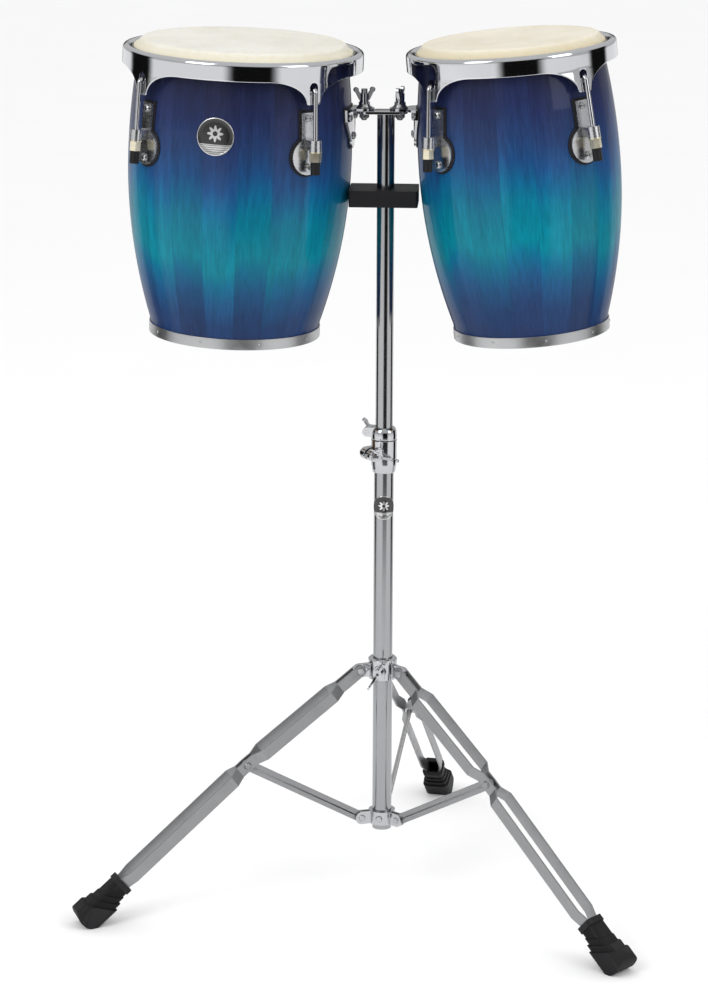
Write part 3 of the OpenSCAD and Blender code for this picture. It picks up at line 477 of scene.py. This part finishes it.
def steps(start, end, count):
    return [start + (end - start) * i / count for i in range(count + 1)]


def bridge(bm, ring, following, material=0, smooth=True):
    """faces between two closed rings; a ring of one vertex is a point, two points join nothing"""
    count = max(len(ring), len(following))
    if count == 1:
        return
    for i in range(count):
        k = (i + 1) % count
        if len(ring) == 1:
            corners = (ring[0], following[i], following[k])
        elif len(following) == 1:
            corners = (ring[i], following[0], ring[k])
        else:
            corners = (ring[i], following[i], following[k], ring[k])
        face = bm.faces.new(corners)
        face.smooth = smooth
        face.material_index = material


def to_mesh(bm, name):
    mesh = bpy.data.meshes.new(name)
    bmesh.ops.recalc_face_normals(bm, faces=bm.faces)
    bm.to_mesh(mesh)
    bm.free()
    return mesh


def lathe(name, outline, segments, material_of=lambda j: 0, wobble=lambda r, z, a: (r, 0.0)):
    """closed outline (radius, height) turned about Z; a zero radius closes on the axis"""
    bm = bmesh.new()
    rings = []
    for radius, z in outline:
        if radius == 0:
            rings.append([bm.verts.new((0, 0, z * MM))])
            continue
        ring = []
        for i in range(segments):
            angle = 2 * math.pi * i / segments
            moved, lift = wobble(radius, z, angle)
            ring.append(bm.verts.new((moved * math.cos(angle) * MM,
                                      moved * math.sin(angle) * MM, (z + lift) * MM)))
        rings.append(ring)
    for j, ring in enumerate(rings):
        bridge(bm, ring, rings[(j + 1) % len(rings)], material_of(j))
    return to_mesh(bm, name)


# ------------------------------------------------------------------ drums
def shell_radius(drum, z):
    """outer radius of the shell, on one parabola above the belly and another below"""
    if z > drum.belly_z:
        part = (z - drum.belly_z) / drum.belly_z
        return drum.belly - (drum.belly - drum.head + 1.5) * part ** 2
    part = min(1.0, (drum.belly_z - z) / (DRUM_HEIGHT - 16 + drum.belly_z))
    return drum.belly - (drum.belly - drum.foot) * part ** 2


def hang(drum):
    """matrix from the drum's frame to the scene"""
    return (Matrix.Translation(POST + Vector((drum.bolt * MM, 0, PLATE_Z * MM)))
            @ Matrix.Rotation(math.radians(drum.yaw), 4, "Z")
            @ Matrix.Translation(Vector((-drum.reach * MM, 0, drum.rise * MM)))
            @ Matrix.Rotation(math.radians(drum.tilt), 4, "Y"))


def build_shell(drum):
    head, foot, bottom = drum.head, drum.foot, -DRUM_HEIGHT
    top_edge = [(head - 7.2, -4.6), (head - 5.6, -2.7), (head - 3.6, -2.2), (head - 2.0, -3.6),
                (shell_radius(drum, -8) - 0.35, -7)]
    outside = [(shell_radius(drum, z), z) for z in steps(-10, bottom + 3, 64)]
    foot_edge = [(foot - 0.6, bottom + 0.9), (foot - 1.8, bottom),
                 (foot - 7.4, bottom), (foot - 8.6, bottom + 0.9)]
    inside = [(shell_radius(drum, z) - 9.0, z) for z in steps(bottom + 4, -14, 24)]
    # bare wood from the flat of the foot, up the inside and over the first step of the top
    first_bare = len(top_edge) + len(outside) + 1
    mesh = lathe("shell_" + drum.side, top_edge + outside + foot_edge + inside, 240,
                 material_of=lambda j: int(j >= first_bare or j < 1))
    add("stave_shell_" + drum.side, mesh, [lacquer(drum), MATERIALS["raw_wood"]],
        "drum_" + drum.side, "shell_" + drum.side, hang(drum))


def build_head(drum):
    """skin over the top edge, down inside the rim and back along its underside"""
    head, rim = drum.head, drum.rim
    outline = [
        (0, -0.6), (head * 0.5, -0.45), (head - 14, -0.1), (head - 7, 0.0),
        (head - 3.6, -0.3), (head - 1.6, -1.3), (head - 0.2, -2.8), (head + 1.1, -4.6),
        (head + 2.8, -6.4), (rim - 14.6, -8.8), (rim - 13.2, -11.6), (rim - 12.9, -15.0),
        (rim - 14.2, -15.0), (rim - 15.6, -9.9), (head + 1.2, -7.2), (head - 0.6, -5.2),
        (head - 2.4, -2.9), (head - 4.2, -1.8), (head - 8, -1.5), (head * 0.5, -1.9),
        (0, -2.0)]

    def wobble(radius, z, angle):
        """ripples outside the playing edge, and a slight unevenness in height"""
        amount = max(0.0, min(1.0, (radius - head + 1) / 10.0))
        ripple = (0.35 * math.sin(23 * angle + 1.0) + 0.3 * math.sin(41 * angle + z * 0.4)
                  + 0.22 * math.sin(67 * angle))
        lift = 0.12 * math.sin(3 * angle + 0.7) * (radius / head) ** 2
        return radius + amount * ripple, lift

    mesh = lathe("head_" + drum.side, outline, 256, wobble=wobble)
    add("hide_head_" + drum.side, mesh, [hide(drum)], "drum_" + drum.side,
        "head_" + drum.side, hang(drum))


# rim outline over the top, from the inner lip to the wall: from the rim radius, height
RIM_TOP = (
    (-12.0, -11.9), (-12.5, -11.0), (-12.1, -10.1), (-10.6, -9.2), (-8.6, -8.65),
    (-6.6, -8.4), (-4.6, -8.45), (-2.9, -8.9), (-1.5, -9.8), (-0.6, -11.0),
    (-0.12, -12.4), (0.0, -14.0), (0.0, -15.9))
# and back under the roll, from the wall's inner face
RIM_UNDER = ((-2.5, -15.9), (-2.7, -14.0), (-3.4, -12.5), (-4.8, -11.5), (-6.8, -11.1),
             (-9.2, -11.4))
# rounded lower edge: inward from the wall, upward from the edge
RIM_EDGE = ((0.12, 0.45), (0.45, 0.12), (0.9, 0.0), (1.6, 0.0), (2.05, 0.12), (2.38, 0.45))
RIM_WALL_TOP = -15.9
RIM_EDGE_HEIGHT = 0.9
RIM_THICKNESS = 2.5


def rim_lower_edge(quarter):
    """half an ear and on to the next: distance along the rim from the ear's middle, height"""
    points = [(x, -60.5) for x in (0.0, 2.5, 5.0, 7.5)]
    for j in range(1, 6):
        angle = math.radians(18 * j)
        points.append((7.5 + 3 * math.sin(angle), -57.5 - 3 * math.cos(angle)))
    for j in range(1, 23):
        angle = math.radians(4.2 + 85.8 * j / 22)
        points.append((61 - 50.5 * math.cos(angle), -59.5 + 27.5 * math.sin(angle)))
    ear_end = points[-1][0]
    count = int((quarter - ear_end) / 2.4)
    return points + [(x, -32.0) for x in steps(ear_end, quarter, count)[1:]]


def rim_mesh(drum):
    radius = drum.rim
    lean = 0.977 * math.tan(math.radians(drum.slant))
    half = rim_lower_edge(math.pi / 4 * radius)
    columns = []
    for lug in LUG_ANGLES:
        middle = math.radians(lug + drum.turn)
        # the column between two ears is kept once
        columns += [(middle - x / radius, z) for x, z in reversed(half[1:-1])]
        columns += [(middle + x / radius, z) for x, z in half]

    def wall(z):
        return radius + max(0.0, FLARE_TOP - z) * lean

    bm = bmesh.new()
    rings = []
    for angle, low in columns:
        heights = steps(RIM_WALL_TOP, low + RIM_EDGE_HEIGHT, 16)[1:]
        outline = [(radius + out, z) for out, z in RIM_TOP]
        outline += [(wall(z), z) for z in heights]
        outline += [(wall(low) - inward, low + up) for inward, up in RIM_EDGE]
        outline += [(wall(z) - RIM_THICKNESS, z) for z in reversed(heights)]
        outline += [(radius + out, z) for out, z in RIM_UNDER]
        rings.append([bm.verts.new((r * math.cos(angle) * MM, r * math.sin(angle) * MM, z * MM))
                      for r, z in outline])
    for i, ring in enumerate(rings):
        bridge(bm, ring, rings[(i + 1) % len(rings)])
    return to_mesh(bm, "rim")


def slot_mesh(drum):
    """cutters for the ears: round top, flat bottom with rounded corners"""
    half_width, corner = 6.0, 1.8
    outline = []
    for j in range(17):
        angle = math.pi * j / 16
        outline.append((half_width * math.cos(angle), -39.2 + half_width * math.sin(angle)))
    for centre, start in ((corner - half_width, math.pi), (half_width - corner, 1.5 * math.pi)):
        for j in range(6):
            angle = start + math.pi / 2 * j / 5
            outline.append((centre + corner * math.cos(angle),
                            -44.4 + corner * math.sin(angle)))
    bm = bmesh.new()
    for lug in LUG_ANGLES:
        turn = Matrix.Rotation(math.radians(lug + drum.turn), 4, "Z")
        inner, outer = [
            [bm.verts.new(turn @ Vector((out * MM, y * MM, z * MM))) for y, z in outline]
            for out in (drum.rim - 12, drum.rim + 14)]
        bm.faces.new(inner)
        bm.faces.new(list(reversed(outer)))
        bridge(bm, inner, outer)
    return to_mesh(bm, "slots")


def build_rim(drum):
    """rolled top, tall band, four ears blending down, a slot in each ear"""
    body = link("rim_tmp", rim_mesh(drum))
    cutter = link("slot_tmp", slot_mesh(drum))
    cut = body.modifiers.new("cut", "BOOLEAN")
    cut.operation = "DIFFERENCE"
    cut.solver = "EXACT"
    cut.object = cutter
    bevel = body.modifiers.new("bevel", "BEVEL")
    bevel.width = 0.0006
    bevel.segments = 2
    bevel.limit_method = "ANGLE"
    bevel.angle_limit = math.radians(55)
    bpy.context.view_layer.update()
    graph = bpy.context.evaluated_depsgraph_get()
    mesh = bpy.data.meshes.new_from_object(
        body.evaluated_get(graph), preserve_all_data_layers=True, depsgraph=graph)
    bpy.data.objects.remove(body)
    bpy.data.objects.remove(cutter)
    for face in mesh.polygons:
        face.use_smooth = True
    mesh.set_sharp_from_angle(angle=math.radians(50))
    add("comfort_rim_" + drum.side, mesh, [MATERIALS["rim_chrome"]], "drum_" + drum.side,
        "rim_" + drum.side, hang(drum))


# ------------------------------------------------------------------ badges
# rings from the middle to the back edge: part of the radius, height above the surface
ROUND_BADGE_RINGS = (
    (0.0, 1.45), (0.25, 1.44), (0.5, 1.42), (0.75, 1.38), (0.93, 1.35), (0.945, 1.50),
    (0.965, 1.58), (0.985, 1.50), (1.0, 1.30), (1.0, 0.10))
TUBE_BADGE_RINGS = (
    (0.0, 0.95), (0.3, 0.95), (0.6, 0.95), (0.86, 0.92), (0.885, 1.15), (0.94, 1.25),
    (0.98, 1.15), (1.0, 0.85), (1.0, 0.05))


def badge_front(bm, radius, rows, wrap):
    """disc of rings put in place by wrap; gives its last ring and each vertex's flat place"""
    rings, flat = [], {}
    for part, rise in rows:
        ring = []
        for i in range(72 if part > 0 else 1):
            angle = 2 * math.pi * i / 72
            x, y = part * radius * math.cos(angle), part * radius * math.sin(angle)
            vert = bm.verts.new(wrap(x, y, rise))
            flat[vert] = (x, y)
            ring.append(vert)
        rings.append(ring)
    for ring, following in zip(rings, rings[1:]):
        bridge(bm, ring, following)
    return rings[-1], flat


def build_round_badge(drum):
    """badge wrapped to the shell, local Z out of the drum, local Y up"""
    radius, height = 23.5, -102.0
    turn = Matrix.Rotation(math.radians(-90.2), 4, "Z")
    axes = Matrix(((0, 0, 1, 0), (1, 0, 0, 0), (0, 1, 0, 0), (0, 0, 0, 1)))
    centre = Vector((shell_radius(drum, height) * MM, 0, height * MM))
    place = turn @ Matrix.Translation(centre) @ axes
    to_badge = place.inverted()

    def wrap(x, y, rise):
        z = height + y
        out = math.sqrt((shell_radius(drum, z) + rise) ** 2 - x * x)
        return to_badge @ (turn @ Vector((out * MM, x * MM, z * MM)))

    bm = bmesh.new()
    edge, _ = badge_front(bm, radius, ROUND_BADGE_RINGS, wrap)
    bm.faces.new(list(reversed(edge)))
    add("round_badge_" + drum.side, to_mesh(bm, "badge"),
        [badge_enamel("badge_enamel", radius * MM)], "drum_" + drum.side,
        "badge_" + drum.side, hang(drum) @ place)


def build_tube_badge():
    """badge wrapped on the -Y side of the lower tube, its map laid out flat"""
    radius, tube_radius, height = 15.8, 12.7, 534.4

    def wrap(x, y, rise):
        out, angle = tube_radius + rise, x / tube_radius
        return (out * math.sin(angle) * MM, -out * math.cos(angle) * MM, y * MM)

    bm = bmesh.new()
    uv = bm.loops.layers.uv.new("flat")
    edge, flat = badge_front(bm, radius, TUBE_BADGE_RINGS, wrap)
    back = bm.verts.new(wrap(0.0, 0.0, TUBE_BADGE_RINGS[-1][1]))
    flat[back] = (0.0, 0.0)
    bridge(bm, [back], edge, smooth=False)
    for face in bm.faces:
        for loop in face.loops:
            x, y = flat[loop.vert]
            loop[uv].uv = (x / (2 * radius) + 0.5, y / (2 * radius) + 0.5)
    add("tube_badge_disc", to_mesh(bm, "tube_badge"),
        [badge_enamel("tube_badge_enamel", radius * MM, flat=True)], "column",
        "tube_badge", Matrix.Translation(POST + Vector((0, 0, height * MM))))


for drum in DRUMS:
    build_shell(drum)
    build_head(drum)
    build_rim(drum)
build_round_badge(DRUMS[0])
build_tube_badge()


# ------------------------------------------------------------------ CAD nodes kept as they are
# nodes, material, bevel width in metres, least bevelled angle if not 28 degrees
STAND_PARTS = (
    ("lower_tube upper_tube", "tube_chrome", 0.0003),
    ("clamp_body memory_lock hub_collar lower_collar", "chrome", 0.0009),
    ("clamp_wing_nut memory_wing hub_wing_bolt wing_nut_left wing_nut_right t_plate",
     "chrome", 0.0007),
    ("clamp_bolt t_bolts hub_pins collar_pins tilt_rod tilt_trunnion screws_left screws_right",
     "zinc_steel", 0.0003),
    ("tilt_wing_nut", "black_zinc", 0.0006),
    ("clamp_bushing", "nylon", 0.0004),
    ("bumper_bar", "plain_steel", 0.0004),
    ("bumper_rubber", "bumper_rubber", 0.0012),
    ("leg_left leg_right leg_rear", "leg_chrome", 0.0006),
    ("foot_left foot_right foot_rear", "foot_rubber", 0.0011, 18.0),
)
# node name without its side, material, bevel width
SIDE_PARTS = (
    ("brace_", "leg_chrome", 0.0005), ("lugs_", "lug_chrome", 0.0007),
    ("gaskets_", "gasket_rubber", 0.0004), ("hooks_", "chrome", 0.0),
    ("band_", "satin_band", 0.0003), ("bracket_", "chrome", 0.0006),
    ("flesh_hoop_", "plain_steel", 0.0),
)
HOOK_DROP = 12.3     # from the start of the rim's flare to a hook's origin
CAP_Z = -83.9        # in a hook's frame the nut ends and its cap starts here


def dress(name, materials, width, angle=28.0):
    """materials, smooth shading and softened edges; a node the frame lacks is passed over"""
    node = NODES.get(name)
    if node is None:
        return
    node.data.materials.clear()
    for material in materials:
        node.data.materials.append(MATERIALS[material])
    for face in node.data.polygons:
        face.material_index = 0
        face.use_smooth = True
    node.modifiers.new("weld", "WELD").merge_threshold = 0.00002
    if width:
        bevel = node.modifiers.new("bevel", "BEVEL")
        bevel.width = width
        bevel.segments = 2
        bevel.limit_method = "ANGLE"
        bevel.angle_limit = math.radians(angle)
        bevel.miter_outer = "MITER_ARC"
    normals = node.modifiers.new("normals", "WEIGHTED_NORMAL")
    normals.keep_sharp = True
    normals.weight = 80


def dress_nut(drum, number, lug):
    """brass nut whose lower end is a rubber cap"""
    name = "nut_%s_%d" % (drum.side, number)
    dress(name, ["nickel_brass_nut", "cap_rubber"], 0.0005)
    if name not in NODES:
        return
    out = drum.rim + HOOK_DROP * math.tan(math.radians(drum.slant)) + 3.3
    hook = (hang(drum) @ Matrix.Rotation(math.radians(lug + drum.turn), 4, "Z")
            @ Matrix.Translation(Vector((out * MM, 0, (FLARE_TOP - HOOK_DROP) * MM)))
            @ Matrix.Rotation(math.radians(-drum.slant), 4, "Y"))
    to_hook = hook.inverted() @ NODES[name].matrix_world
    for face in NODES[name].data.polygons:
        if (to_hook @ face.center).z < CAP_Z * MM:
            face.material_index = 1


for names, material, *softening in STAND_PARTS:
    for name in names.split():
        dress(name, [material], *softening)
for drum in DRUMS:
    for prefix, material, width in SIDE_PARTS:
        dress(prefix + drum.side, [material], width)
    for number, lug in enumerate(LUG_ANGLES, 1):
        dress_nut(drum, number, lug)


# ------------------------------------------------------------------ studio
def stage_mesh(name, verts, faces, material):
    mesh = bpy.data.meshes.new(name)
    mesh.from_pydata(verts, [], faces)
    made = link(name, mesh)
    mesh.materials.append(material)
    return made


def floor_material():
    mat = Mat("studio_floor")
    cloud = mat.noise(mat.spot(), scale=3.0, detail=3.0, rough=0.5)
    return mat.finish(Base_Color=mat.mix(cloud, (0.93, 0.93, 0.93, 1.0), (0.95, 0.95, 0.95, 1.0)),
                      Roughness=1.0, Specular_IOR_Level=0.0)


def card_material():
    """near-black glow that fades out towards all edges of the card"""
    material = bpy.data.materials.new("dark_card")
    material.use_nodes = True
    graph = Graph(material.node_tree)
    output = graph.node("ShaderNodeOutputMaterial")
    glow = graph.node("ShaderNodeEmission", {0: (0.006, 0.006, 0.00606, 1), 1: 1.0})
    across, along, _ = graph.split(graph.node("ShaderNodeTexCoord").outputs["UV"])
    sides = graph.ramp(across, [(0.0, 0.0), (0.22, 1.0), (0.78, 1.0), (1.0, 0.0)], "EASE")
    ends = graph.ramp(along, [(0.0, 0.0), (0.14, 1.0), (0.9, 1.0), (1.0, 0.0)], "EASE")
    fade = graph.node("ShaderNodeMath", {0: sides, 1: ends}, operation="MULTIPLY")
    clear = graph.node("ShaderNodeBsdfTransparent")
    mixed = graph.node("ShaderNodeMixShader",
                       {0: fade.outputs[0], 1: clear.outputs[0], 2: glow.outputs[0]})
    graph.plug(output.inputs[0], mixed.outputs[0])
    return material


# dark cards seen only in reflections: name, azimuths in degrees, near radius, wall height
# azimuth 0 is towards -Y and grows towards +X
CARDS = (
    ("card_front", -20, 38, 1.2, 2.9), ("card_left", -134, -90, 0.6, 3.2),
    ("card_right", 86, 124, 0.6, 3.2), ("card_back", 162, 200, 0.9, 2.3),
)
CARD_FAR = 7.0
CARD_Z = 0.004
CARD_STEPS = 10


def build_card(name, start, end, near, wall, material):
    """a fan on the floor, and a wall at its far edge"""
    verts, faces = [], []
    for azimuth in steps(start, end, CARD_STEPS):
        angle = math.radians(azimuth) - math.pi / 2
        for radius, z in ((near, CARD_Z), (CARD_FAR, CARD_Z), (CARD_FAR, CARD_Z + wall)):
            verts.append((radius * math.cos(angle), radius * math.sin(angle), z))
    for k in range(0, 3 * CARD_STEPS, 3):
        faces += [(k, k + 1, k + 4, k + 3), (k + 1, k + 2, k + 5, k + 4)]
    card = stage_mesh(name, verts, faces, material)
    uv = card.data.uv_layers.new(name="card")
    for loop in card.data.loops:
        column, row = divmod(loop.vertex_index, 3)
        uv.data[loop.index].uv = (column / CARD_STEPS, (0.0, 0.62, 1.0)[row])
    for ray in ("camera", "diffuse", "transmission", "shadow", "volume_scatter"):
        setattr(card, "visible_" + ray, False)


def build_world():
    """pale sky, brighter overhead and dimmer in reflections"""
    world = bpy.data.worlds.new("studio")
    SCENE.world = world
    world.use_nodes = True
    graph = Graph(world.node_tree)
    height = graph.split(graph.node("ShaderNodeTexCoord").outputs["Generated"])[2]
    sky = graph.ramp(height, [(0.0, (0.80, 0.80, 0.81, 1)), (0.75, (1.0, 1.0, 1.0, 1))])
    glossy = graph.node("ShaderNodeLightPath").outputs["Is Glossy Ray"]
    strength = graph.scale_add(glossy, times=-0.36, plus=1.03)
    background = graph.node("ShaderNodeBackground", {0: sky, 1: strength})
    graph.node("ShaderNodeOutputWorld", {0: background.outputs[0]})


def area_light(name, place, width, height, power):
    """rectangular light aimed at the drums' stand"""
    light = bpy.data.lights.new(name, "AREA")
    light.energy = power
    light.shape = "RECTANGLE"
    light.size = width
    light.size_y = height
    made = link(name, light)
    made.location = place
    aim = Vector((0, 0, 0.8)) - Vector(place)
    made.rotation_euler = aim.to_track_quat("-Z", "Y").to_euler()


def build_camera():
    camera = bpy.data.cameras.new("camera")
    made = link("camera", camera)
    camera.sensor_fit = "VERTICAL"
    camera.sensor_height = 36.0
    camera.lens = 120.672
    camera.clip_end = 100
    down, roll = 14.9, 0.22      # degrees
    made.matrix_world = (Matrix.Translation(POST + Vector((-0.0385, -4.2, 1.659)))
                         @ Matrix.Rotation(math.radians(90 - down), 4, "X")
                         @ Matrix.Rotation(math.radians(roll), 4, "Z"))
    SCENE.camera = made


stage_mesh("floor", [(-30, -30, 0), (30, -30, 0), (30, 30, 0), (-30, 30, 0)], [(0, 1, 2, 3)],
           floor_material())
dark = card_material()
for card_row in CARDS:
    build_card(*card_row, dark)
build_world()
area_light("key", (-2.6, -2.8, 3.2), width=1.8, height=2.4, power=55)
area_light("fill", (3.0, -2.2, 2.6), width=1.6, height=2.4, power=28)
build_camera()
SCENE.view_settings.view_transform = "Standard"
SCENE.view_settings.look = "None"
